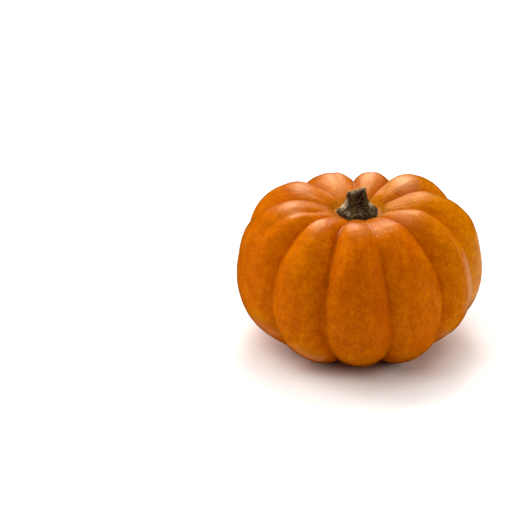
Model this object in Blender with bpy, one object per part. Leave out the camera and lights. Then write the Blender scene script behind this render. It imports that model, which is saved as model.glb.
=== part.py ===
"""A mini pumpkin: a ribbed orange fruit with the cut stub of its stem.

Sizes are in metres. +Z is up and -Y is the front. The origin is on the surface that the
pumpkin rests on, under the middle of its box. The fruit grew as one body, so it is one solid,
and the stem stands in the shallow seat of its crown.
"""

import math

import bmesh
import bpy
import numpy as np

NAME = "mini_pumpkin"

# The fruit, read down the crest of a lobe from the stem's seat to the blossom end.
# Each row is the distance from the axis, the height, and the depth of the grooves beside it.
CREST_PROFILE = (
    (0.0000, 0.0469, 0.0000),
    (0.0045, 0.0469, 0.0000),
    (0.0078, 0.0471, 0.0001),
    (0.0096, 0.0487, 0.0010),
    (0.0145, 0.0508, 0.0020),
    (0.0238, 0.0526, 0.0052),
    (0.0305, 0.0500, 0.0059),
    (0.0384, 0.0425, 0.0055),
    (0.0412, 0.0335, 0.0042),
    (0.0420, 0.0240, 0.0036),
    (0.0385, 0.0131, 0.0034),
    (0.0305, 0.0053, 0.0026),
    (0.0230, 0.0012, 0.0020),
    (0.0160, -0.0006, 0.0011),
    (0.0110, -0.0008, 0.0005),
    (0.0070, 0.0003, 0.0006),
    (0.0035, 0.0019, 0.0003),
    (0.0000, 0.0021, 0.0000),
)

# The lobes, from the front one round to the right. Each row is the bearing of the groove on its
# left, how far that groove sways by the crown, both in degrees, and its share of the profile's
# groove depth. Then come how far the lobe's shoulder and its lower flank stand out.
LOBES = (
    (-18.5, 0.0, 1.0, 0.0000, 0.0004),
    (14.1, -3.7, 1.0, -0.0017, 0.0007),
    (45.0, -1.0, 1.0, 0.0003, -0.0010),
    (72.5, 2.0, 1.0, 0.0005, 0.0000),
    (115.0, 1.0, 1.0, 0.0010, 0.0000),
    (151.0, 0.5, 1.0, -0.0020, 0.0000),
    (182.0, 0.0, 1.0, -0.0016, 0.0000),
    (221.0, 0.0, 1.0, -0.0003, 0.0000),
    (259.0, 0.0, 0.6, 0.0000, 0.0006),
    (310.0, 0.5, 1.0, -0.0005, 0.0009),
)
# Across, a lobe is part of a circle: at 1 the groove walls would be upright, at 0 a shallow arch.
LOBE_ROUNDNESS = 0.85
# Where the shoulder and the flank start, are full, begin to fade and end, as shares of the way down.
SHOULDER = (0.08, 0.32, 0.45, 0.68)
FLANK = (0.45, 0.68, 0.80, 0.95)
# How far the fruit leans to the right and to the back for each metre of height.
LEAN = (-0.026, 0.028)

# The stem, read from the middle of its cut top down the shaft, out along the collar and back
# under it. Each row is the distance from its axis, the height over its base, and the rib depth.
STEM_PROFILE = (
    (0.0000, 0.0080, 0.0000),
    (0.0016, 0.0082, 0.0001),
    (0.0028, 0.0085, 0.0002),
    (0.0031, 0.0079, 0.0003),
    (0.0034, 0.0058, 0.0003),
    (0.0037, 0.0040, 0.0003),
    (0.0044, 0.0026, 0.0004),
    (0.0056, 0.0014, 0.0004),
    (0.0067, 0.0005, 0.0003),
    (0.0070, 0.0002, 0.0003),
    (0.0064, 0.0000, 0.0002),
    (0.0000, 0.0000, 0.0000),
)
STEM_RIBS = 5
STEM_RIB_BEARING = math.radians(-22.0)
STEM_LEAN = (-0.06, 0.0)
# The cut slants up to the right and the front. The slant starts low on the shaft and is full at
# the rim, so the shaft itself is longer on that side.
STEM_CUT_SLOPE = (0.30, -0.45)
STEM_CUT_FROM = 0.0040
STEM_CUT_FULL = 0.0084
STEM_GAP = 0.0003

# Edges that turn by more than these angles, in degrees, are shaded sharp.
FRUIT_SHARP = 60.0
STEM_SHARP = 40.0

# How finely each solid is divided.
FRUIT_STEPS = 3
FRUIT_COLUMNS_PER_LOBE = 10
STEM_STEPS = 2
STEM_COLUMNS_PER_RIB = 8


def clear_scene():
    """Remove every object of the open scene."""
    for old in list(bpy.data.objects):
        bpy.data.objects.remove(old, do_unlink=True)


def ease(start, end, value):
    """Rise smoothly from 0 at start to 1 at end."""
    share = np.clip((value - start) / (end - start), 0.0, 1.0)
    return share * share * (3.0 - 2.0 * share)


def band(edges, value):
    """Rise between the first two edges and fall between the last two."""
    return ease(edges[0], edges[1], value) * (1.0 - ease(edges[2], edges[3], value))


def smooth_rows(stations, steps):
    """Rows along a smooth curve through the stations, and how far down it each one is."""
    knots = np.array(stations)
    spans = np.linalg.norm(np.diff(knots[:, :2], axis=0), axis=1)
    reach = np.concatenate([[0.0], np.cumsum(spans)])
    slopes = np.gradient(knots, reach, axis=0)
    count = len(spans) * steps
    index = np.minimum(np.arange(count + 1) // steps, len(spans) - 1)
    share = (np.arange(count + 1) / steps - index)[:, None]
    rest = 1.0 - share
    span = spans[index][:, None]
    rows = (
        (1.0 + 2.0 * share) * rest**2 * knots[index]
        + (1.0 + 2.0 * rest) * share**2 * knots[index + 1]
        + share * rest**2 * span * slopes[index]
        - rest * share**2 * span * slopes[index + 1]
    )
    down = (reach[index] + share[:, 0] * spans[index]) / reach[-1]
    return rows, down


def crest_form(across):
    """How high a lobe stands at each place across it: 0 in its grooves and 1 on its crest."""
    edge = math.sqrt(1.0 - LOBE_ROUNDNESS)
    return (np.sqrt(1.0 - LOBE_ROUNDNESS * across**2) - edge) / (1.0 - edge)


def fruit_grid():
    """The fruit's surface: rings of points from the stem's seat down to the blossom end."""
    crest_line, down = smooth_rows(CREST_PROFILE, FRUIT_STEPS)
    radius, height, groove = crest_line.T[:, :, None]
    out, up = -np.gradient(crest_line[:, 1]), np.gradient(crest_line[:, 0])
    length = np.hypot(out, up)
    out, up = (out / length)[:, None], (up / length)[:, None]

    lobe, step = np.divmod(np.arange(len(LOBES) * FRUIT_COLUMNS_PER_LOBE), FRUIT_COLUMNS_PER_LOBE)
    share = step / FRUIT_COLUMNS_PER_LOBE
    crest = crest_form(2.0 * share - 1.0)
    rows = LOBES + ((LOBES[0][0] + 360.0,) + LOBES[0][1:],)
    bearing, sway, depth, shoulder, flank = np.array(rows).T
    turn = np.cos(math.pi * down)[:, None]
    left = bearing[lobe] + sway[lobe] * turn
    right = bearing[lobe + 1] + sway[lobe + 1] * turn
    angle = np.radians(left * (1.0 - share) + right * share)

    swell = shoulder[lobe] * band(SHOULDER, down)[:, None] + flank[lobe] * band(FLANK, down)[:, None]
    depth = depth[lobe] * (1.0 - share) + depth[lobe + 1] * share
    raised = crest * swell - groove * depth * (1.0 - crest)
    radius = radius + out * raised
    height = height + up * raised
    x = radius * np.sin(angle) + LEAN[0] * height
    y = -radius * np.cos(angle) + LEAN[1] * height
    return np.stack([x, y, np.maximum(height, 0.0)], axis=-1)


def stem_grid():
    """The stem's surface, round its own axis, with its flat underside at height 0."""
    rows, _ = smooth_rows(STEM_PROFILE, STEM_STEPS)
    radius, height, rib = rows.T[:, :, None]
    columns = STEM_RIBS * STEM_COLUMNS_PER_RIB
    angle = np.arange(columns) * 2.0 * math.pi / columns
    ridge = np.cos(STEM_RIBS * (angle - STEM_RIB_BEARING))
    radius = radius + rib * ridge
    x = radius * np.sin(angle)
    y = -radius * np.cos(angle)
    cut = ease(STEM_CUT_FROM, STEM_CUT_FULL, height)
    height = np.maximum(height + cut * (STEM_CUT_SLOPE[0] * x + STEM_CUT_SLOPE[1] * y), 0.0)
    return np.stack([x + STEM_LEAN[0] * height, y + STEM_LEAN[1] * height, height], axis=-1)


def material(name, colour, roughness):
    """A Principled material of one colour."""
    made = bpy.data.materials.new(name)
    made.use_nodes = True
    shader = made.node_tree.nodes["Principled BSDF"]
    shader.inputs["Base Color"].default_value = (*colour, 1.0)
    shader.inputs["Roughness"].default_value = roughness
    shader.inputs["Metallic"].default_value = 0.0
    return made


def grown_solid(name, grid, finish, collection, sharp_angle):
    """A closed solid: a sphere whose points are moved to the rings of the grid, pole to pole."""
    rings, columns = grid.shape[0] - 1, grid.shape[1]
    mesh = bpy.data.meshes.new(name)
    shape = bmesh.new()
    bmesh.ops.create_uvsphere(shape, u_segments=columns, v_segments=rings, radius=1.0)
    for vert in shape.verts:
        ring = round(math.acos(max(-1.0, min(1.0, vert.co.z))) / math.pi * rings)
        column = round(math.atan2(vert.co.x, -vert.co.y) / (2.0 * math.pi) * columns) % columns
        vert.co = grid[ring, column]
    bmesh.ops.triangulate(shape, faces=shape.faces)
    bmesh.ops.recalc_face_normals(shape, faces=shape.faces)
    shape.to_mesh(mesh)
    shape.free()
    mesh.shade_smooth()
    mesh.set_sharp_from_angle(angle=math.radians(sharp_angle))
    mesh.materials.append(finish)
    solid = bpy.data.objects.new(name, mesh)
    collection.objects.link(solid)
    return solid


def main():
    clear_scene()
    collection = bpy.data.collections.new(NAME)
    bpy.context.scene.collection.children.link(collection)

    grid = fruit_grid()
    low, high = grid.min(axis=(0, 1)), grid.max(axis=(0, 1))
    middle = np.array([(low[0] + high[0]) / 2.0, (low[1] + high[1]) / 2.0, 0.0])
    skin = material("pumpkin_skin", (0.75, 0.24, 0.01), 0.45)
    grown_solid("fruit", grid - middle, skin, collection, FRUIT_SHARP)

    seat = CREST_PROFILE[0][1]
    foot = np.array([LEAN[0] * seat, LEAN[1] * seat, seat + STEM_GAP])
    cork = material("stem_cork", (0.07, 0.055, 0.025), 0.85)
    grown_solid("stem", stem_grid() + foot - middle, cork, collection, STEM_SHARP)


main()
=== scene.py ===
"""The looks of the mini pumpkin: its skin and stem in fine relief, the floor, lights and camera.

Sizes are in metres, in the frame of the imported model: +Z up, the front towards -Y.
"""

import math

import bmesh
import bpy
import numpy as np
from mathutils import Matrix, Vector, noise


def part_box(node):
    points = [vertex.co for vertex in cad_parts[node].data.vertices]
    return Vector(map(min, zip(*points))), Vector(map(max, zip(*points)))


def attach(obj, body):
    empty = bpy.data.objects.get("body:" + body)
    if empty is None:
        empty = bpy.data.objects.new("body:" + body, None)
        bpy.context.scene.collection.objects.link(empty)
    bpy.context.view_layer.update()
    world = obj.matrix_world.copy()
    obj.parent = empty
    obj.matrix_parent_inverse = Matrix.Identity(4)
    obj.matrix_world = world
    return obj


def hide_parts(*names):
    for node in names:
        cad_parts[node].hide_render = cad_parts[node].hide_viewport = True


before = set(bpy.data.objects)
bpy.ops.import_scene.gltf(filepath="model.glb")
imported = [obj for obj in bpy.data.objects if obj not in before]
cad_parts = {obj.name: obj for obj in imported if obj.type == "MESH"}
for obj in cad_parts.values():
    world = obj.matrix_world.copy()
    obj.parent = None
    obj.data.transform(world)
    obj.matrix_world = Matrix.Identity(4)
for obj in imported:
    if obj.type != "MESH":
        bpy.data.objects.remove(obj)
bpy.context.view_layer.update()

# The fruit, read down the crest of a lobe from the stem's seat to the blossom end.
# Each row is the distance from the axis, the height, and the depth of the grooves beside it.
CREST_PROFILE = (
    (0.0000, 0.0469, 0.0000),
    (0.0045, 0.0469, 0.0000),
    (0.0078, 0.0471, 0.0001),
    (0.0096, 0.0487, 0.0010),
    (0.0145, 0.0508, 0.0020),
    (0.0238, 0.0526, 0.0052),
    (0.0305, 0.0500, 0.0059),
    (0.0384, 0.0425, 0.0055),
    (0.0412, 0.0335, 0.0042),
    (0.0420, 0.0240, 0.0036),
    (0.0385, 0.0131, 0.0034),
    (0.0305, 0.0053, 0.0026),
    (0.0230, 0.0012, 0.0020),
    (0.0160, -0.0006, 0.0011),
    (0.0110, -0.0008, 0.0005),
    (0.0070, 0.0003, 0.0006),
    (0.0035, 0.0019, 0.0003),
    (0.0000, 0.0021, 0.0000),
)

# The lobes, from the front one round to the right. Each row is the bearing of the groove on its
# left, how far that groove sways by the crown, both in degrees, and its share of the profile's
# groove depth. Then come how far the lobe's shoulder and its lower flank stand out.
LOBES = (
    (-18.5, 0.0, 1.0, 0.0000, 0.0004),
    (14.1, -3.7, 1.0, -0.0017, 0.0007),
    (45.0, -1.0, 1.0, 0.0003, -0.0010),
    (72.5, 2.0, 1.0, 0.0005, 0.0000),
    (115.0, 1.0, 1.0, 0.0010, 0.0000),
    (151.0, 0.5, 1.0, -0.0020, 0.0000),
    (182.0, 0.0, 1.0, -0.0016, 0.0000),
    (221.0, 0.0, 1.0, -0.0003, 0.0000),
    (259.0, 0.0, 0.6, 0.0000, 0.0006),
    (310.0, 0.5, 1.0, -0.0005, 0.0009),
)
# Across, a lobe is part of a circle: at 1 the groove walls would be upright, at 0 a shallow arch.
LOBE_ROUNDNESS = 0.85
# Where the shoulder and the flank start, are full, begin to fade and end, as shares of the way
# down.
SHOULDER = (0.08, 0.32, 0.45, 0.68)
FLANK = (0.45, 0.68, 0.80, 0.95)
# How far the fruit leans to the right and to the back for each metre of height.
LEAN = (-0.026, 0.028)

# How much of its depth each lobe's left groove has by the crown, and where down the lobe it
# starts to change to the depth in the profile and has it.
CROWN_GROOVES = (0.9, 0.35, 0.95, 1.1, 1.1, 1.1, 0.94, 1.1, 1.4, 1.1)
CROWN_GROOVE_END = (0.24, 0.38)

# Every lobe has two soft ridges along it, where flatter faces meet. Each row, in the order of
# LOBES, is the place of the left ridge across the lobe, from -1 to 1, by the crown and by the
# foot, then the same of the right ridge, and how far the skin between them sinks, as a share of
# the groove depth.
RIDGES = (
    (-0.33, -0.66, 0.60, 0.55, 0.03),
    (-0.45, -0.60, 0.25, 0.62, 0.02),
    (-0.45, -0.40, 0.28, 0.60, 0.03),
    (-0.35, -0.35, 0.40, 0.50, 0.02),
    (-0.75, -0.55, 0.35, 0.40, 0.02),
    (-0.40, -0.45, 0.50, 0.45, 0.01),
    (-0.45, -0.40, 0.40, 0.50, 0.01),
    (-0.40, -0.45, 0.40, 0.50, 0.00),
    (-0.20, -0.35, 0.60, 0.52, 0.02),
    (-0.38, -0.45, 0.25, 0.55, 0.02),
)
# Where down the lobe the ridges come up, and where they move from their upper places to the
# lower ones.
RIDGE_START = (0.16, 0.34)
RIDGE_MOVE = (0.34, 0.44)
# How much of a lobe's form is faces and ridges, how far a ridge's rounding reaches across the
# lobe, in how many steps, and how far the ridges stand out, as a share of the groove depth.
RIDGE_SHARE = 0.50
RIDGE_ROUNDING = 0.07
RIDGE_ROUNDING_STEPS = 5
RIDGE_LIFT = 0.05

# Shallow folds that run along a lobe. Each row is the lobe, counted from 0 in the order of LOBES,
# the fold's place across it at its start and its end, where down the lobe it starts, is full,
# begins to fade and ends, its half width as a share of the lobe, and its height.
FOLDS = (
    (2, 0.00, -0.10, (0.28, 0.34, 0.46, 0.54), 0.06, 0.00020),
    (3, 0.30, 0.20, (0.12, 0.18, 0.28, 0.38), 0.12, -0.00025),
    (5, 0.10, 0.05, (0.12, 0.18, 0.26, 0.36), 0.14, -0.00030),
    (6, -0.15, -0.10, (0.12, 0.18, 0.28, 0.40), 0.12, -0.00025),
    (7, 0.62, 0.50, (0.10, 0.16, 0.24, 0.34), 0.12, -0.00012),
    (8, 0.48, 0.22, (0.10, 0.15, 0.30, 0.40), 0.14, -0.00100),
    (8, 0.68, 0.52, (0.12, 0.20, 0.34, 0.50), 0.14, 0.00020),
    (8, 0.42, 0.44, (0.33, 0.38, 0.44, 0.55), 0.13, -0.00045),
)

# Single soft bumps and dents. Each row is the lobe, the place across it and down it, the half
# width across and down, both as shares, and the height.
BUMPS = (
    (0, -0.62, 0.380, 0.20, 0.022, 0.00030),
    (0, -0.95, 0.400, 0.30, 0.020, -0.00030),
    (0, -1.00, 0.520, 0.35, 0.060, 0.00040),
    (0, -0.45, 0.335, 0.30, 0.040, 0.00020),
    (1, 0.60, 0.270, 0.30, 0.060, -0.00050),
    (2, 0.70, 0.380, 0.30, 0.080, -0.00045),
    (2, -0.45, 0.180, 0.35, 0.050, 0.00035),
    (3, 0.60, 0.190, 0.40, 0.060, 0.00025),
    (4, -0.60, 0.210, 0.35, 0.070, 0.00070),
    (5, 0.00, 0.170, 0.70, 0.050, 0.00040),
    (6, 0.00, 0.170, 0.70, 0.050, 0.00045),
    (7, 0.35, 0.200, 0.40, 0.060, 0.00035),
    (7, 0.85, 0.380, 0.40, 0.090, -0.00070),
    (8, -0.80, 0.380, 0.35, 0.080, 0.00060),
    (8, -0.40, 0.340, 0.30, 0.040, 0.00020),
    (9, 0.05, 0.300, 0.22, 0.030, 0.00020),
    (9, -0.70, 0.270, 0.30, 0.050, 0.00035),
    (9, 0.45, 0.335, 0.35, 0.045, 0.00040),
)

# The skin's lumps and the streaks along the lobes: how high they are and how large. The size of a
# streak is a share of the fruit's radius, and down the fruit it is longer by the stretch.
BROAD_LUMPS = 0.00020
BROAD_LUMP_SIZE = 0.016
SMALL_LUMPS = 0.00007
SMALL_LUMP_SIZE = 0.005
STREAKS = 0.00008
STREAK_SIZE = 0.05
STREAK_STRETCH = (1.0, 1.0, 0.6)
# Where down the fruit the streaks fade from full to the share that is left below.
STREAK_FADE = (0.10, 0.45)
STREAKS_BELOW = 0.4
# Where lumps and streaks start, are full, begin to fade and end, and how much of them is left in
# the grooves, up to where the lobe has risen by the second share.
RELIEF_REACH = (0.06, 0.12, 0.90, 0.96)
GROOVE_RELIEF = 0.3
GROOVE_RELIEF_END = 0.35

# The blossom scar underneath: how far its rim stands out and where down the fruit the rim is, then
# how rough the scar is, how large its grains are and where they start and are full.
BLOSSOM_RIM = 0.0005
BLOSSOM_RIM_REACH = (0.950, 0.966, 0.968, 0.980)
BLOSSOM_ROUGHNESS = 0.00030
BLOSSOM_GRAIN = 0.0009
BLOSSOM_START = (0.955, 0.970)

# How golden each lobe is: 0 is plain orange, 1 is golden, and below 0 it is redder and darker.
LOBE_GOLD = (-0.25, 0.00, 0.45, 0.55, 0.65, 0.40, 0.30, 0.15, 0.05, 0.05)

# Golden patches, and below 0 darker, redder patches of painted shade, laid out as the bumps are.
GOLD_PATCHES_AND_PAINTED_SHADE = (
    (0, -0.62, 0.330, 0.22, 0.120, 0.45),
    (0, 0.80, 0.440, 0.35, 0.150, -0.80),
    (0, 0.05, 0.420, 0.40, 0.060, -0.35),
    (0, 0.15, 0.330, 0.40, 0.050, -0.45),
    (0, 0.10, 0.560, 0.45, 0.050, -0.25),
    (0, -0.30, 0.640, 0.40, 0.040, 0.40),
    (0, 0.00, 0.670, 0.70, 0.030, 0.75),
    (1, -0.95, 0.440, 0.18, 0.120, -0.50),
    (1, -0.75, 0.500, 0.25, 0.100, -0.35),
    (1, 0.85, 0.520, 0.20, 0.080, 0.40),
    (1, 0.10, 0.330, 0.45, 0.050, -0.55),
    (1, -0.10, 0.660, 0.50, 0.030, 0.60),
    (2, 0.60, 0.420, 0.25, 0.120, 0.30),
    (2, -0.50, 0.595, 0.40, 0.030, 0.45),
    (3, 0.10, 0.320, 0.50, 0.100, 0.25),
    (3, -0.60, 0.430, 0.30, 0.080, 0.55),
    (3, -0.75, 0.530, 0.40, 0.070, 0.90),
    (8, 0.20, 0.420, 0.30, 0.100, -0.30),
    (8, -0.60, 0.400, 0.35, 0.120, 0.35),
    (8, 0.60, 0.590, 0.30, 0.030, 0.80),
    (9, 0.85, 0.520, 0.25, 0.150, -0.85),
    (9, -0.60, 0.350, 0.30, 0.090, 0.12),
    (9, 0.10, 0.610, 0.28, 0.035, 0.70),
    (9, 0.45, 0.655, 0.28, 0.040, 0.80),
    (9, 0.75, 0.695, 0.20, 0.035, 0.60),
    (9, -0.70, 0.600, 0.30, 0.060, 0.50),
)

# Fine pale lines that run along the lobes, laid out as the folds are: scars, most of them by the
# crown, and on the third lobe a painted reflection along its limb.
SCARS_AND_PAINTED_RIM = (
    (0, 0.90, 0.94, (0.12, 0.15, 0.21, 0.25), 0.04, 0.65),
    (0, -0.93, -0.96, (0.13, 0.16, 0.20, 0.24), 0.04, 0.40),
    (2, 0.19, 0.08, (0.36, 0.42, 0.52, 0.58), 0.08, 0.24),
    (2, 0.00, -0.10, (0.28, 0.34, 0.42, 0.50), 0.03, 0.14),
    (7, 0.60, 0.40, (0.12, 0.15, 0.20, 0.26), 0.04, 0.3),
    (8, -0.55, -0.45, (0.16, 0.19, 0.24, 0.30), 0.04, 0.4),
)

# A pale painted sheen, laid out as the bumps are: painted highlights on the tops of the lobes
# and a painted reflection of the floor on the feet of the front ones.
PAINTED_SHEEN = (
    (2, -0.50, 0.175, 0.35, 0.040, 0.35),
    (2, -0.50, 0.642, 0.30, 0.020, 0.24),
    (4, -0.35, 0.183, 0.42, 0.036, 0.75),
    (5, -0.05, 0.175, 0.60, 0.055, 0.50),
    (6, 0.25, 0.165, 0.60, 0.050, 0.50),
    (7, 0.35, 0.183, 0.32, 0.030, 0.42),
    (8, 0.05, 0.210, 0.32, 0.030, 0.32),
    (8, 0.52, 0.620, 0.20, 0.018, 0.22),
    (8, 0.72, 0.655, 0.20, 0.020, 0.22),
    (9, -0.30, 0.200, 0.28, 0.025, 0.20),
    (9, -0.05, 0.215, 0.35, 0.030, 0.25),
    (9, -0.04, 0.640, 0.24, 0.018, 0.22),
    (9, 0.24, 0.674, 0.24, 0.020, 0.28),
    (9, 0.50, 0.698, 0.24, 0.020, 0.26),
)

# Where the skin is pitted with small dark pores, laid out as the bumps are.
POROUS = (
    (0, -0.55, 0.570, 0.40, 0.080, 1.30),
    (0, 0.00, 0.600, 0.40, 0.050, 0.60),
    (1, -0.70, 0.560, 0.30, 0.060, 0.50),
    (9, -0.10, 0.560, 0.30, 0.060, 0.45),
)

# The stem, read from the middle of its cut top down the shaft, out along the collar and back
# under it. Each row is the distance from its axis, the height over its base, and the rib depth.
STEM_PROFILE = (
    (0.0000, 0.0080, 0.0000),
    (0.0016, 0.0082, 0.0001),
    (0.0028, 0.0085, 0.0002),
    (0.0031, 0.0079, 0.0003),
    (0.0034, 0.0058, 0.0003),
    (0.0037, 0.0040, 0.0003),
    (0.0044, 0.0026, 0.0004),
    (0.0056, 0.0014, 0.0004),
    (0.0067, 0.0005, 0.0003),
    (0.0070, 0.0002, 0.0003),
    (0.0064, 0.0000, 0.0002),
    (0.0000, 0.0000, 0.0000),
)
STEM_RIBS = 5
STEM_RIB_BEARING = math.radians(-22.0)
STEM_LEAN = (-0.06, 0.0)
# The cut slants up to the right and the front. The slant starts low on the shaft and is full at
# the rim, so the shaft itself is longer on that side.
STEM_CUT_SLOPE = (0.30, -0.45)
STEM_CUT_FROM = 0.0040
STEM_CUT_FULL = 0.0084
STEM_GAP = 0.0003

# Where down the stem its shaft and its collar start, are full, begin to fade and end, and where
# the cut top begins to fade and ends.
SHAFT_REACH = (0.16, 0.22, 0.42, 0.50)
COLLAR_REACH = (0.36, 0.42, 0.54, 0.62)
CUT_REACH = (0.13, 0.15)
# The stem's relief: how high the fibres and the lumps are on each part, and how much of the cork's
# height it has between its lumps.
SHAFT_FIBRES = 0.00018
COLLAR_FIBRES = 0.00030
COLLAR_LUMPS = 0.00016
CORK_LUMPS = 0.00015
CORK_RISE = 0.4
CUT_LUMPS = 0.00012
# How large the lumps are. A fibre's width is a share of the stem's radius. Down the stem, heights
# are counted in the fibre's length, and the stretch makes the fibres longer still.
STEM_LUMP_SIZE = 0.0013
FIBRE_SIZE = 0.16
FIBRE_LENGTH = 0.01
FIBRE_STRETCH = (1.0, 1.0, 0.25)

# The skin's colours.
SKIN_ORANGE = (0.510, 0.114, 0.0002)
SKIN_RED = (0.475, 0.096, 0.0002)
SKIN_GOLD = (0.510, 0.150, 0.0002)
# Deep orange: the rind's own tone in the streaks, and painted shade where the gold reading is below
# 0.
SKIN_DEEP_AND_SHADE = (0.40, 0.068, 0.0002)
# Painted shade for the grooves, over the rind's deeper tone there.
SKIN_GROOVE_SHADE = (0.38, 0.064, 0.0002)
SKIN_OLIVE = (0.40, 0.150, 0.010)
# The colour of the pale scars and of the painted highlights and reflections.
SKIN_SCAR_AND_SHEEN = (0.78, 0.35, 0.17)
SKIN_PORE = (0.22, 0.060, 0.004)
BLOSSOM_CORK = (0.34, 0.21, 0.10)
BLOSSOM_DARK = (0.07, 0.035, 0.014)

# The noises on the skin: how many marks fit in a metre, how many finer layers they have and how
# strong those are.
SKIN_NOISES = {
    "clouds": (75.0, 2.0, 0.55),
    "warts": (230.0, 2.0, 0.55),
    "freckles": (480.0, 2.0, 0.55),
    "mottle": (850.0, 3.0, 0.60),
}
# The noises that are drawn out along the lobes: how fine they are, and how much of that is left
# down the lobe.
SKIN_GRAINS = {
    "streaks": (30.0, 0.14),
    "fine_streaks": (75.0, 0.10),
}
# How the skin's colours lie over the red one. Each row is what is read, between which two readings
# the colour changes, how much there is of it at those two, and the colour.
SKIN_LAYERS = (
    ("clouds", (0.32, 0.68), (0.0, 1.0), SKIN_ORANGE),
    ("gold_and_shade", (0.0, 1.0), (0.0, 1.0), SKIN_GOLD),
    # Below 0 the reading lays a darker, redder colour: the rind's own redder tone and painted
    # shade.
    ("gold_and_shade", (-1.0, 0.0), (0.9, 0.0), SKIN_DEEP_AND_SHADE),
    ("streaks", (0.45, 0.72), (0.0, 0.28), SKIN_GOLD),
    ("streaks", (0.30, 0.50), (0.22, 0.0), SKIN_DEEP_AND_SHADE),
    # Darker towards the grooves: painted shade.
    ("crest", (0.0, 0.30), (0.55, 0.0), SKIN_GROOVE_SHADE),
    ("down", (0.075, 0.105), (0.35, 0.0), SKIN_OLIVE),
)
# Marks that make the skin darker and lighter: the noise, how far from its middle they are full, and
# what the darkest and the lightest multiply the colour by.
SKIN_TINTS = (
    ("mottle", 0.16, (0.92, 0.86, 0.9), (1.07, 1.13, 1.0)),
    ("warts", 0.16, (0.93, 0.89, 0.9), (1.06, 1.08, 1.0)),
    ("freckles", 0.14, (0.96, 0.93, 0.9), (1.04, 1.07, 1.0)),
)
# The colours in the blossom scar over its dark one, laid out as the skin's are. Then come where
# down the fruit the scar's colour starts and is full, and how much of it there is then.
BLOSSOM_LAYERS = (
    ("mottle", (0.38, 0.62), (0.0, 1.0), BLOSSOM_CORK),
    ("down", (0.985, 0.995), (0.0, 0.8), BLOSSOM_DARK),
)
BLOSSOM_EDGE = (0.952, 0.968)
BLOSSOM_SHARE = 0.95
# The skin's finest bumps: how much each noise adds to them, how strong they are and how deep.
SKIN_BUMPS = (("fine_streaks", 1.0), ("mottle", 1.0), ("warts", 1.8), ("pore", -0.5))
SKIN_BUMP_STRENGTH = 0.60
SKIN_BUMP_DEPTH = 0.0003
# The pores, the loose groups that they lie in and the patches of the porous skin: how many fit in
# a metre. Each pore begins to fade and ends at a share of its cell, and the groups and the patches
# start and are full at a reading of their noise.
PORE_SCALE = 850.0
PORE_SIZE = (0.14, 0.42)
PORE_GROUP_SCALE = 110.0
PORE_GROUPS = (0.50, 0.62)
PORE_PATCH_SCALE = 330.0
PORE_PATCHES = (0.38, 0.62)
# Where down the fruit the groups become stronger, and how strong they are above and below.
PORE_DOWN = (0.40, 0.60)
PORE_STRENGTH = (0.05, 0.45)
# The shine of the rind: how strong it is and its tint, then how rough the rind is at the two
# readings of the fine streaks between which that changes.
SKIN_SHINE = 0.15
SKIN_SHINE_TINT = (1.0, 0.65, 0.10)
SKIN_ROUGHNESS = (0.11, 0.22)
GLOSS_STREAKS = (0.35, 0.70)

# The stem's colours.
STEM_DARK = (0.014, 0.007, 0.003)
STEM_BROWN = (0.044, 0.026, 0.010)
STEM_GREY = (0.170, 0.115, 0.055)
STEM_OLIVE = (0.100, 0.080, 0.010)
STEM_CORK = (0.58, 0.44, 0.26)
STEM_CUT = (0.66, 0.42, 0.19)
STEM_PITH = (0.24, 0.13, 0.05)

# The noises on the stem, and how its colours lie over the dark one, laid out as the skin's are.
# The fibres follow the stem's own grain.
STEM_NOISES = {
    "fine": (1300.0, 4.0, 0.70),
    "broad": (600.0, 3.0, 0.55),
}
STEM_FIBRES = (11.0, 4.0, 0.70)
STEM_LAYERS = (
    ("broad", (0.35, 0.65), (0.0, 1.0), STEM_BROWN),
    ("fibres", (0.50, 0.68), (0.0, 0.6), STEM_GREY),
    ("ridge", (0.3, 1.0), (0.0, 0.30), STEM_OLIVE),
    # Darker in the valleys between the ribs: painted shade.
    ("ridge", (-1.0, -0.1), (0.55, 0.0), STEM_DARK),
    ("fine", (0.53, 0.62), (0.0, 0.9), STEM_GREY),
    ("fine", (0.34, 0.48), (0.9, 0.0), STEM_DARK),
)
# The readings of the fine noise between which the cork comes up, and the shade under the collar.
CORK_GRAIN = (0.38, 0.54)
UNDER_COLLAR = (("down", (0.57, 0.62), (0.0, 0.50), STEM_DARK),)
# The colours of the cut over its pith, and where it begins to fade and ends, and how much of it
# there is.
CUT_LAYERS = (
    ("fine", (0.40, 0.62), (0.0, 1.0), STEM_CUT),
    ("down", (0.030, 0.110), (0.85, 0.0), STEM_PITH),
)
CUT_EDGE = (0.150, 0.172)
CUT_SHARE = 0.9
STEM_SHINE = 0.08
STEM_ROUGHNESS = 0.85
STEM_BUMP_STRENGTH = 0.7
STEM_BUMP_DEPTH = 0.0004

# Corky patches on the stem, most of them on its collar. Each row is the bearing in degrees, where
# down the stem it is, the half width in degrees and down, and how much cork there is.
CORK = (
    (-84.0, 0.43, 16.0, 0.09, 1.50),
    (-108.0, 0.50, 22.0, 0.08, 1.10),
    (88.0, 0.44, 16.0, 0.04, 0.80),
    (112.0, 0.50, 18.0, 0.05, 0.60),
    (0.0, 0.180, 60.0, 0.03, 0.65),
    (-40.0, 0.55, 12.0, 0.04, 0.35),
    (10.0, 0.50, 10.0, 0.06, 0.25),
    (160.0, 0.50, 40.0, 0.08, 0.55),
    (-165.0, 0.52, 25.0, 0.06, 0.50),
)

# How finely each piece is divided.
FRUIT_STEPS = 12
FRUIT_COLUMNS_PER_LOBE = 36
STEM_STEPS = 8
STEM_COLUMNS_PER_RIB = 24

# The camera: the photograph's elevation, and where the middle of the fruit is seen in its frame.
IMAGE_SIDE = 510
CAMERA_ELEVATION = math.radians(26.0)
CAMERA_DISTANCE = 1.0
CAMERA_REACH = 100.0
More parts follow.
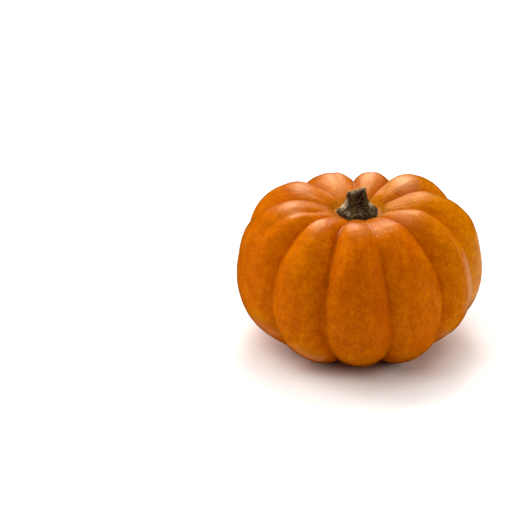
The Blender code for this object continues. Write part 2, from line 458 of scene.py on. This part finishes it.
# How wide the camera's sensor is, in millimetres, and how many pixels a metre is at the fruit.
SENSOR_WIDTH = 36.0
PIXELS_PER_METRE = 2922.0
FRUIT_MIDDLE = Vector((0.0004, 0.0004, 0.026))
FRUIT_SEEN_AT = (360.8, 269.6)

# The soft lights: bearing from the front round to the right and elevation, in degrees, and power.
LIGHT_DISTANCE = 2.0
SOFT_LIGHT_SIZE = (0.9, 0.9)
SOFT_LIGHTS = (
    (90, 8, 12.5),
    (270, 8, 12.5),
    (67, 30, 6.5),
    (157, 30, 12.0),
    (247, 30, 13.5),
    (0, 58, 7.0),
    (60, 58, 1.5),
    (120, 58, 4.5),
    (180, 58, 20.5),
    (240, 58, 8.5),
    (300, 58, 9.0),
    (0, 90, 5.0),
)
# The panels that only the skin's shine shows: name, bearing, elevation, power and size.
SHINE_LIGHTS = (
    ("shine_main", 185, 51, 52.0, (1.0, 1.26)),
    ("shine_low", 183, 22, 11.0, (1.1, 0.8)),
)
# A bright card that lies beside the pumpkin on its right: its middle, its side and its power.
CARD_PLACE = Vector((0.104, 0.057, 0.0005))
CARD_SIDE = 0.11
CARD_WATTS = 0.036
# What the lights, the sky and the floor are like.
WHITE = (1.0, 1.0, 1.0)
SHINE_COLOUR = (1.0, 0.95, 0.76)
CARD_COLOUR = (1.0, 0.76, 0.48)
SKY_STRENGTH = 0.04
FLOOR_COLOUR = (0.960, 0.950, 0.915)
FLOOR_ROUGHNESS = 0.9
FLOOR_SIZE = 12.0


def ease(start, end, value):
    """Rise smoothly from 0 at start to 1 at end."""
    share = np.clip((value - start) / (end - start), 0.0, 1.0)
    return share * share * (3.0 - 2.0 * share)


def band(edges, value):
    """Rise between the first two edges and fall between the last two."""
    return ease(edges[0], edges[1], value) * (1.0 - ease(edges[2], edges[3], value))


def smooth_rows(stations, steps):
    """Rows along a smooth curve through the stations, and how far down it each one is."""
    knots = np.array(stations)
    spans = np.linalg.norm(np.diff(knots[:, :2], axis=0), axis=1)
    reach = np.concatenate([[0.0], np.cumsum(spans)])
    slopes = np.gradient(knots, reach, axis=0)
    count = len(spans) * steps
    index = np.minimum(np.arange(count + 1) // steps, len(spans) - 1)
    share = (np.arange(count + 1) / steps - index)[:, None]
    rest = 1.0 - share
    span = spans[index][:, None]
    rows = (
        (1.0 + 2.0 * share) * rest**2 * knots[index]
        + (1.0 + 2.0 * rest) * share**2 * knots[index + 1]
        + share * rest**2 * span * slopes[index]
        - rest * share**2 * span * slopes[index + 1]
    )
    down = (reach[index] + share[:, 0] * spans[index]) / reach[-1]
    return rows, down


def crest_form(across):
    """How high a lobe stands at each place across it: 0 in its grooves and 1 on its crest."""
    edge = math.sqrt(1.0 - LOBE_ROUNDNESS)
    return (np.sqrt(1.0 - LOBE_ROUNDNESS * across**2) - edge) / (1.0 - edge)


def ridged_form(across, down):
    """How high every lobe stands in each row, with flatter faces that meet in rounded ridges."""
    form = np.empty((len(down), len(RIDGES), len(across)))
    moved = ease(*RIDGE_MOVE, down)
    shifts = np.linspace(-RIDGE_ROUNDING, RIDGE_ROUNDING, RIDGE_ROUNDING_STEPS)
    for lobe, (left_top, left_foot, right_top, right_foot, dip) in enumerate(RIDGES):
        for row, share in enumerate(moved):
            left = left_top + (left_foot - left_top) * share
            right = right_top + (right_foot - right_top) * share
            places = np.array((-1.0, left, (left + right) / 2.0, right, 1.0))
            heights = crest_form(places) + RIDGE_LIFT
            heights[2] -= dip
            heights[[0, 4]] = 0.0
            faces = [np.interp(across + shift, places, heights) for shift in shifts]
            form[row, lobe] = np.mean(faces, axis=0)
    weight = RIDGE_SHARE * ease(*RIDGE_START, down)[:, None, None]
    form = form * weight + crest_form(across) * (1.0 - weight)
    return form.reshape(len(down), -1)


def strips(rows, lobe, across, down):
    """The sum of soft strips that run along the lobes, such as folds."""
    total = np.zeros((len(down), len(across)))
    for index, start, end, reach, width, amount in rows:
        run = np.clip((down - reach[0]) / (reach[3] - reach[0]), 0.0, 1.0)
        place = start + (end - start) * run
        form = np.exp(-(((across[None, :] - place[:, None]) / width) ** 2))
        total += (lobe == index) * form * band(reach, down)[:, None] * amount
    return total


def spots(rows, lobe, across, down):
    """The sum of single soft spots, such as bumps and dents."""
    total = np.zeros((len(down), len(across)))
    for index, place, row, width, length, amount in rows:
        away = ((across[None, :] - place) / width) ** 2 + ((down[:, None] - row) / length) ** 2
        total += (lobe == index) * np.exp(-away) * amount
    return total


def from_groove_to_groove(values, lobe, share):
    """Each column's value, between those of the grooves on the left and the right of its lobe."""
    return values[lobe] * (1.0 - share) + values[lobe + 1] * share


def crown_depth(lobe, share, down):
    """How much of the profile's groove depth there is at each point, which changes by the crown."""
    crown = from_groove_to_groove(np.array(CROWN_GROOVES + CROWN_GROOVES[:1]), lobe, share)
    return crown + (1.0 - crown) * ease(*CROWN_GROOVE_END, down)[:, None]


def fruit_facts(lobe, across, down, angle):
    """What the skin's material reads at each point, by name."""
    crest = crest_form(across)
    every_point = np.ones(angle.shape)
    return {
        "crest": crest * every_point,
        "down": down[:, None] * every_point,
        # Above 0 the skin is more golden, below 0 it gets painted shade.
        "gold_and_shade": np.array(LOBE_GOLD)[lobe] * np.sqrt(crest) + spots(GOLD_PATCHES_AND_PAINTED_SHADE, lobe, across, down),
        "porous": spots(POROUS, lobe, across, down),
        # Pale scars, and painted highlights and reflections on the lobe tops, limbs and feet.
        "pale": strips(SCARS_AND_PAINTED_RIM, lobe, across, down) + spots(PAINTED_SHEEN, lobe, across, down),
        "grain": np.stack([np.sin(angle), np.cos(angle), down[:, None] * every_point], axis=-1),
    }


def fruit_surface(ridged):
    """The fruit's rings of points from the stem's seat down, and what its material reads there."""
    crest_line, down = smooth_rows(CREST_PROFILE, FRUIT_STEPS)
    radius, height, groove = crest_line.T[:, :, None]
    out, up = -np.gradient(crest_line[:, 1]), np.gradient(crest_line[:, 0])
    length = np.hypot(out, up)
    out, up = (out / length)[:, None], (up / length)[:, None]

    lobe, step = np.divmod(np.arange(len(LOBES) * FRUIT_COLUMNS_PER_LOBE), FRUIT_COLUMNS_PER_LOBE)
    share = step / FRUIT_COLUMNS_PER_LOBE
    across = 2.0 * share - 1.0
    rows = LOBES + ((LOBES[0][0] + 360.0,) + LOBES[0][1:],)
    bearing, sway, depth, shoulder, flank = np.array(rows).T
    turn = np.cos(math.pi * down)[:, None]
    bearing = from_groove_to_groove(bearing, lobe, share)
    angle = np.radians(bearing + from_groove_to_groove(sway, lobe, share) * turn)

    crest = crest_form(across)
    depth = from_groove_to_groove(depth, lobe, share)
    form, added = crest, 0.0
    if ridged:
        form = ridged_form(across[:FRUIT_COLUMNS_PER_LOBE], down)
        added = strips(FOLDS, lobe, across, down) + spots(BUMPS, lobe, across, down)
        depth = depth * crown_depth(lobe, share, down)
    swell = shoulder[lobe] * band(SHOULDER, down)[:, None]
    swell = swell + flank[lobe] * band(FLANK, down)[:, None]
    raised = crest * swell - groove * depth * (1.0 - form) + added
    radius = radius + out * raised
    height = height + up * raised
    x = radius * np.sin(angle) + LEAN[0] * height
    y = -radius * np.cos(angle) + LEAN[1] * height
    points = np.stack([x, y, np.maximum(height, 0.0)], axis=-1)
    return points, fruit_facts(lobe, across, down, angle)


def outward(points):
    """The direction out of the surface at each point of a grid of rings."""
    along = np.gradient(points, axis=0)
    around = np.roll(points, -1, axis=1) - np.roll(points, 1, axis=1)
    normal = np.cross(along, around)
    length = np.linalg.norm(normal, axis=-1, keepdims=True)
    return normal / np.maximum(length, 1e-12)


def rough(points, size, octaves=3):
    """A smooth random height from about -1 to 1 at each point, in lumps of about that size."""
    flat = points.reshape(-1, 3) / size
    found = [noise.fractal(Vector(p), 1.0, 2.0, octaves) for p in flat]
    return np.array(found).reshape(points.shape[:2])


def grown_piece(name, grid, facts):
    """A closed mesh: a sphere whose points are moved to the rings of the grid, pole to pole."""
    rings, columns = grid.shape[0] - 1, grid.shape[1]
    shape = bmesh.new()
    bmesh.ops.create_uvsphere(shape, u_segments=columns, v_segments=rings, radius=1.0)
    place = []
    for vert in shape.verts:
        ring = round(math.acos(max(-1.0, min(1.0, vert.co.z))) / math.pi * rings)
        column = round(math.atan2(vert.co.x, -vert.co.y) / (2.0 * math.pi) * columns) % columns
        place.append((ring, column))
        vert.co = grid[ring, column]
    bmesh.ops.recalc_face_normals(shape, faces=shape.faces)
    mesh = bpy.data.meshes.new(name)
    shape.to_mesh(mesh)
    shape.free()
    mesh.shade_smooth()
    ring, column = np.array(place).T
    for key, values in facts.items():
        kind = "FLOAT" if values.ndim == 2 else "FLOAT_VECTOR"
        slot = "value" if values.ndim == 2 else "vector"
        layer = mesh.attributes.new(key, kind, "POINT")
        layer.data.foreach_set(slot, values[ring, column].astype(np.float32).ravel())
    piece = bpy.data.objects.new(name, mesh)
    bpy.context.scene.collection.objects.link(piece)
    return piece


def skin_relief(points, facts):
    """How far the skin stands out at each point: its lumps, its streaks and the blossom scar."""
    crest, down = facts["crest"], facts["down"]
    lumps = BROAD_LUMPS * rough(points, BROAD_LUMP_SIZE)
    lumps += SMALL_LUMPS * rough(points, SMALL_LUMP_SIZE)
    streaks = STREAKS * rough(facts["grain"] * np.array(STREAK_STRETCH), STREAK_SIZE, 2)
    streaks *= 1.0 - (1.0 - STREAKS_BELOW) * ease(*STREAK_FADE, down)
    out_of_groove = GROOVE_RELIEF + (1.0 - GROOVE_RELIEF) * ease(0.0, GROOVE_RELIEF_END, crest)
    relief = (lumps + streaks) * band(RELIEF_REACH, down) * out_of_groove
    relief += BLOSSOM_RIM * band(BLOSSOM_RIM_REACH, down)
    relief += BLOSSOM_ROUGHNESS * rough(points, BLOSSOM_GRAIN) * ease(*BLOSSOM_START, down)
    return relief


def raise_points(points, relief):
    """The points moved out of the surface by the relief, none of them below height 0."""
    raised = points + outward(points) * relief[..., None]
    raised[..., 2] = np.maximum(raised[..., 2], 0.0)
    return raised


def make_fruit():
    """The fruit's skin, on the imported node's own place."""
    plain, _ = fruit_surface(ridged=False)
    points, facts = fruit_surface(ridged=True)
    low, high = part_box("fruit")
    plain_middle = (plain.min(axis=(0, 1)) + plain.max(axis=(0, 1))) / 2.0
    shift = (np.array(low) + np.array(high)) / 2.0 - plain_middle
    shift[2] = 0.0
    points = raise_points(points, skin_relief(points, facts))
    return grown_piece("pumpkin_skin", points + shift, facts), shift


def stem_surface():
    """The stem's rings of points round its own axis, with its underside at height 0."""
    rows, down = smooth_rows(STEM_PROFILE, STEM_STEPS)
    radius, height, rib = rows.T[:, :, None]
    columns = STEM_RIBS * STEM_COLUMNS_PER_RIB
    angle = np.arange(columns) * 2.0 * math.pi / columns
    ridge = np.cos(STEM_RIBS * (angle - STEM_RIB_BEARING))
    radius = radius + rib * ridge
    x = radius * np.sin(angle)
    y = -radius * np.cos(angle)
    cut = ease(STEM_CUT_FROM, STEM_CUT_FULL, height)
    slant = cut * (STEM_CUT_SLOPE[0] * x + STEM_CUT_SLOPE[1] * y)
    height = np.maximum(height + slant, 0.0)
    points = np.stack([x + STEM_LEAN[0] * height, y + STEM_LEAN[1] * height, height], axis=-1)
    every_point = np.ones(points.shape[:2])
    grain = (np.sin(angle) * every_point, np.cos(angle) * every_point, height / FIBRE_LENGTH)
    facts = {
        "down": down[:, None] * every_point,
        "grain": np.stack(grain, axis=-1),
        "ridge": ridge * every_point,
        "cork": cork_patches(angle, down),
    }
    return points, facts


def cork_patches(angle, down):
    """How corky the stem is at each point."""
    total = np.zeros((len(down), len(angle)))
    for bearing, row, width, length, amount in CORK:
        turn = (np.degrees(angle) - bearing + 180.0) % 360.0 - 180.0
        away = (turn[None, :] / width) ** 2 + ((down[:, None] - row) / length) ** 2
        total += amount * np.exp(-away)
    return total


def stem_relief(points, facts):
    """How far the stem's surface stands out at each point: its fibres, its lumps and its cork."""
    down = facts["down"]
    shaft = band(SHAFT_REACH, down)
    collar = band(COLLAR_REACH, down)
    top = 1.0 - ease(*CUT_REACH, down)
    fibres = rough(facts["grain"] * np.array(FIBRE_STRETCH), FIBRE_SIZE)
    lumps = rough(points, STEM_LUMP_SIZE)
    relief = SHAFT_FIBRES * fibres * shaft + CUT_LUMPS * lumps * top
    relief += (COLLAR_LUMPS * lumps + COLLAR_FIBRES * fibres) * collar
    relief += CORK_LUMPS * facts["cork"] * (CORK_RISE + lumps) * collar
    return relief


def make_stem(shift):
    """The stem's corky surface, standing in the crown's seat."""
    points, facts = stem_surface()
    points = raise_points(points, stem_relief(points, facts))
    seat = CREST_PROFILE[0][1]
    foot = np.array([LEAN[0] * seat, LEAN[1] * seat, seat + STEM_GAP])
    return grown_piece("stem_cork", points + foot + shift, facts)


def add(tree, kind, inputs=None, **settings):
    """A shader node with its settings and inputs, each a value or another node's output."""
    made = tree.nodes.new(kind)
    for key, value in settings.items():
        setattr(made, key, value)
    for key, value in (inputs or {}).items():
        if isinstance(value, bpy.types.NodeSocket):
            tree.links.new(value, made.inputs[key])
        else:
            made.inputs[key].default_value = value
    return made


def fact(tree, name):
    """A number that the mesh holds at each point."""
    return add(tree, "ShaderNodeAttribute", attribute_name=name).outputs["Fac"]


def texture(tree, place, scale, detail=3.0, roughness=0.55):
    """A noise from 0 to 1 over the place that it is given."""
    inputs = {"Vector": place, "Scale": scale, "Detail": detail, "Roughness": roughness}
    return add(tree, "ShaderNodeTexNoise", inputs).outputs["Fac"]


def ramp(tree, value, low, high, start=0.0, end=1.0):
    """Turn the range from low to high into the range from start to end, and stay within it."""
    inputs = {"Value": value, "From Min": low, "From Max": high, "To Min": start, "To Max": end}
    made = add(tree, "ShaderNodeMapRange", inputs, interpolation_type="SMOOTHSTEP")
    return made.outputs["Result"]


def blend(tree, share, first, second, how="MIX"):
    """One colour over another, by share."""
    made = add(tree, "ShaderNodeMix", {0: share}, data_type="RGBA", blend_type=how)
    for index, colour in ((6, first), (7, second)):
        if isinstance(colour, bpy.types.NodeSocket):
            tree.links.new(colour, made.inputs[index])
        else:
            made.inputs[index].default_value = (*colour, 1.0)
    return made.outputs[2]


def maths(tree, operation, first, second, third=0.0):
    """One sum on two values, or on three where the operation takes three."""
    inputs = {0: first, 1: second, 2: third}
    return add(tree, "ShaderNodeMath", inputs, operation=operation).outputs[0]


def bumps(tree, height, strength, depth):
    """The direction of a surface with fine bumps of that height on it."""
    inputs = {"Height": height, "Strength": strength, "Distance": depth}
    return add(tree, "ShaderNodeBump", inputs).outputs["Normal"]


def layered(tree, colour, layers, readings):
    """A colour with the layers of a table over it."""
    for name, reach, amounts, layer in layers:
        share = ramp(tree, readings[name], *reach, *amounts)
        colour = blend(tree, share, colour, layer)
    return colour


def new_material(name, roughness, specular, tint=(1.0, 1.0, 1.0)):
    """An empty Principled material: its tree and its shader."""
    made = bpy.data.materials.new(name)
    made.use_nodes = True
    shader = made.node_tree.nodes["Principled BSDF"]
    shader.inputs["Roughness"].default_value = roughness
    shader.inputs["Specular IOR Level"].default_value = specular
    shader.inputs["Specular Tint"].default_value = (*tint, 1.0)
    return made, made.node_tree, shader


def along_lobes(tree, grain, scale, stretch):
    """A noise that is drawn out along the lobes."""
    inputs = {0: grain, 1: (1.0, 1.0, stretch)}
    drawn = add(tree, "ShaderNodeVectorMath", inputs, operation="MULTIPLY")
    return texture(tree, drawn.outputs[0], scale)


def pores(tree, place, down):
    """Sparse dark pores, most of them on the lower half, in loose groups."""
    inputs = {"Vector": place, "Scale": PORE_SCALE, "Randomness": 1.0}
    cells = add(tree, "ShaderNodeTexVoronoi", inputs)
    dots = ramp(tree, cells.outputs["Distance"], *PORE_SIZE, 1.0, 0.0)
    groups = ramp(tree, texture(tree, place, PORE_GROUP_SCALE, 1.0), *PORE_GROUPS)
    lower = maths(tree, "MULTIPLY", groups, ramp(tree, down, *PORE_DOWN, *PORE_STRENGTH))
    patches = ramp(tree, texture(tree, place, PORE_PATCH_SCALE, 1.0), *PORE_PATCHES)
    porous = maths(tree, "MULTIPLY", fact(tree, "porous"), patches)
    return maths(tree, "MULTIPLY", dots, maths(tree, "MAXIMUM", lower, porous))


def skin_readings(tree):
    """What the skin's colour and bumps read, by name: its noises and the facts in the mesh."""
    place = add(tree, "ShaderNodeTexCoord").outputs["Object"]
    grain = add(tree, "ShaderNodeAttribute", attribute_name="grain").outputs["Vector"]
    readings = {name: fact(tree, name) for name in ("crest", "down", "gold_and_shade", "pale")}
    readings |= {name: texture(tree, place, *row) for name, row in SKIN_NOISES.items()}
    readings |= {name: along_lobes(tree, grain, *row) for name, row in SKIN_GRAINS.items()}
    readings["pore"] = pores(tree, place, readings["down"])
    return readings


def skin_colour(tree, readings):
    """Orange, more golden or redder in places, streaked, mottled, scarred and pitted, with painted
    shade and sheen.
    """
    colour = layered(tree, SKIN_RED, SKIN_LAYERS, readings)
    for name, reach, darkest, lightest in SKIN_TINTS:
        share = ramp(tree, readings[name], 0.5 - reach, 0.5 + reach)
        colour = blend(tree, 1.0, colour, blend(tree, share, darkest, lightest), "MULTIPLY")
    # The pale colour lays scars, and painted highlights and reflections, over the skin.
    colour = blend(tree, readings["pale"], colour, SKIN_SCAR_AND_SHEEN)
    blossom = layered(tree, BLOSSOM_DARK, BLOSSOM_LAYERS, readings)
    share = ramp(tree, readings["down"], *BLOSSOM_EDGE, 0.0, BLOSSOM_SHARE)
    colour = blend(tree, share, colour, blossom)
    return blend(tree, readings["pore"], colour, SKIN_PORE)


def skin_material():
    """Waxy orange rind with fine streaks and mottling."""
    made, tree, shader = new_material("rind", SKIN_ROUGHNESS[0], SKIN_SHINE, SKIN_SHINE_TINT)
    readings = skin_readings(tree)
    tree.links.new(skin_colour(tree, readings), shader.inputs["Base Color"])
    gloss = ramp(tree, readings["fine_streaks"], *GLOSS_STREAKS, *SKIN_ROUGHNESS)
    tree.links.new(gloss, shader.inputs["Roughness"])
    height = 0.0
    for name, amount in SKIN_BUMPS:
        height = maths(tree, "MULTIPLY_ADD", readings[name], amount, height)
    normal = bumps(tree, height, SKIN_BUMP_STRENGTH, SKIN_BUMP_DEPTH)
    tree.links.new(normal, shader.inputs["Normal"])
    return made


def stem_colour(tree, readings):
    """Near-black brown, olive on the ridges, pale cork on the collar and the tan of the cut."""
    colour = layered(tree, STEM_DARK, STEM_LAYERS, readings)
    corky = maths(tree, "MULTIPLY", readings["cork"], ramp(tree, readings["fine"], *CORK_GRAIN))
    colour = layered(tree, blend(tree, corky, colour, STEM_CORK), UNDER_COLLAR, readings)
    cut = layered(tree, STEM_PITH, CUT_LAYERS, readings)
    return blend(tree, ramp(tree, readings["down"], *CUT_EDGE, CUT_SHARE, 0.0), colour, cut)


def stem_material():
    """Dried stalk: dull, fibrous and finely pitted."""
    made, tree, shader = new_material("cork", STEM_ROUGHNESS, STEM_SHINE)
    place = add(tree, "ShaderNodeTexCoord").outputs["Object"]
    grain = add(tree, "ShaderNodeAttribute", attribute_name="grain").outputs["Vector"]
    readings = {name: fact(tree, name) for name in ("down", "ridge", "cork")}
    readings |= {name: texture(tree, place, *row) for name, row in STEM_NOISES.items()}
    readings["fibres"] = texture(tree, grain, *STEM_FIBRES)
    tree.links.new(stem_colour(tree, readings), shader.inputs["Base Color"])
    normal = bumps(tree, readings["fine"], STEM_BUMP_STRENGTH, STEM_BUMP_DEPTH)
    tree.links.new(normal, shader.inputs["Normal"])
    return made


def make_floor():
    """A wide pale floor, level with the surface that the pumpkin rests on."""
    bpy.ops.mesh.primitive_plane_add(size=FLOOR_SIZE)
    floor = bpy.context.object
    floor.name = "floor"
    made, _, shader = new_material("floor_white", FLOOR_ROUGHNESS, 0.0)
    shader.inputs["Base Color"].default_value = (*FLOOR_COLOUR, 1.0)
    floor.data.materials.append(made)
    floor.visible_glossy = False


def make_light(name, place, facing, watts, size, colour, shine):
    """A large soft light, which either lights the surfaces or is only seen in their shine."""
    lamp = bpy.data.lights.new(name, "AREA")
    lamp.shape = "RECTANGLE"
    lamp.size, lamp.size_y = size
    lamp.energy = watts
    lamp.color = colour
    made = bpy.data.objects.new(name, lamp)
    made.location = place
    made.rotation_euler = facing.to_track_quat("-Z", "Y").to_euler()
    made.visible_camera = False
    made.visible_diffuse = not shine
    made.visible_glossy = shine
    bpy.context.scene.collection.objects.link(made)


def make_panel(name, bearing, elevation, watts, size, colour, shine):
    """A light that faces the pumpkin from a bearing and an elevation in degrees."""
    across, up = math.radians(bearing), math.radians(elevation)
    level = math.cos(up)
    towards = Vector((math.sin(across) * level, -math.cos(across) * level, math.sin(up)))
    place = FRUIT_MIDDLE + towards * LIGHT_DISTANCE
    make_light(name, place, -towards, watts, size, colour, shine)


def light_the_scene():
    """Soft lights all round, and panels and a card for the shine."""
    for bearing, elevation, watts in SOFT_LIGHTS:
        name = f"light_{bearing}_{elevation}"
        make_panel(name, bearing, elevation, watts, SOFT_LIGHT_SIZE, WHITE, shine=False)
    for name, bearing, elevation, watts, size in SHINE_LIGHTS:
        make_panel(name, bearing, elevation, watts, size, SHINE_COLOUR, shine=True)
    size = (CARD_SIDE, CARD_SIDE)
    upward = Vector((0.0, 0.0, 1.0))
    make_light("card", CARD_PLACE, upward, CARD_WATTS, size, CARD_COLOUR, shine=True)


def make_sky():
    """A faint white sky that the shine does not show, and plain colours in the picture."""
    world = bpy.data.worlds.new("sky")
    bpy.context.scene.world = world
    world.cycles_visibility.glossy = False
    world.use_nodes = True
    background = world.node_tree.nodes["Background"]
    background.inputs["Color"].default_value = (*WHITE, 1.0)
    background.inputs["Strength"].default_value = SKY_STRENGTH
    bpy.context.scene.view_settings.view_transform = "Standard"


def make_camera():
    """The photograph's view: the pumpkin right of the middle and a little low."""
    right = Vector((1.0, 0.0, 0.0))
    forward = Vector((0.0, math.cos(CAMERA_ELEVATION), -math.sin(CAMERA_ELEVATION)))
    up = right.cross(forward)
    centre = IMAGE_SIDE / 2.0
    aim = FRUIT_MIDDLE - right * (FRUIT_SEEN_AT[0] - centre) / PIXELS_PER_METRE
    aim += up * (FRUIT_SEEN_AT[1] - centre) / PIXELS_PER_METRE
    lens = bpy.data.cameras.new("camera")
    lens.sensor_width = SENSOR_WIDTH
    lens.lens = SENSOR_WIDTH * PIXELS_PER_METRE * CAMERA_DISTANCE / IMAGE_SIDE
    lens.clip_end = CAMERA_REACH
    camera = bpy.data.objects.new("camera", lens)
    camera.location = aim - forward * CAMERA_DISTANCE
    camera.rotation_euler = (math.pi / 2.0 - CAMERA_ELEVATION, 0.0, 0.0)
    bpy.context.scene.collection.objects.link(camera)
    bpy.context.scene.camera = camera


make_camera()
light_the_scene()
make_sky()
make_floor()

skin, place_shift = make_fruit()
skin.data.materials.append(skin_material())
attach(skin, "root")
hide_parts("fruit")

cork = make_stem(place_shift)
cork.data.materials.append(stem_material())
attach(cork, "root")
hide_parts("stem")
